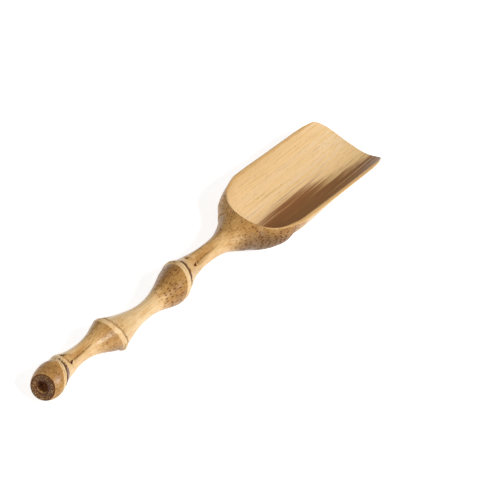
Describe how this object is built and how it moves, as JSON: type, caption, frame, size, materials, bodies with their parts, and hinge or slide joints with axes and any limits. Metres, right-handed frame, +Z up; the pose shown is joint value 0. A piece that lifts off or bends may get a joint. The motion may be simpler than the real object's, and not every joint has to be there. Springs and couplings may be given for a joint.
{
  "type": "bamboo tea scoop",
  "caption": "Tea scoop carved from one length of bamboo root: knobbly handle of short growth joints with rings, pith and buds, and a last joint opened into a half round trough.",
  "frame": {"origin": "middle of the scoop's box on the plane that it lies on", "axes": "+X from the butt to the tip, +Y to the left seen from the butt, +Z up through the open side of the trough"},
  "size_m": [0.165, 0.026, 0.0114],
  "materials": {
    "bamboo_skin": "polished natural bamboo skin, satin",
    "bamboo_carved": "carved and polished bamboo, satin",
    "bamboo_ring": "pale band with a dark scar",
    "bamboo_bud": "rough dark scale",
    "bamboo_pith": "dull crumbled pith"
  },
  "bodies": {
    "root": {"butt_internode": "bamboo_skin", "butt_pith_core": "bamboo_pith", "ring_one_collar": "bamboo_ring", "ring_one_diaphragm": "bamboo_pith", "ring_one_bud": "bamboo_bud", "second_internode": "bamboo_skin", "second_pith_core": "bamboo_pith", "ring_two_collar": "bamboo_ring", "ring_two_diaphragm": "bamboo_pith", "ring_two_bud": "bamboo_bud", "third_internode": "bamboo_skin", "third_pith_core": "bamboo_pith", "ring_three_collar": "bamboo_ring", "ring_three_diaphragm": "bamboo_pith", "ring_three_bud": "bamboo_bud", "scoop_neck": "bamboo_skin", "scoop_bowl": "bamboo_carved"}
  },
  "joints": []
}
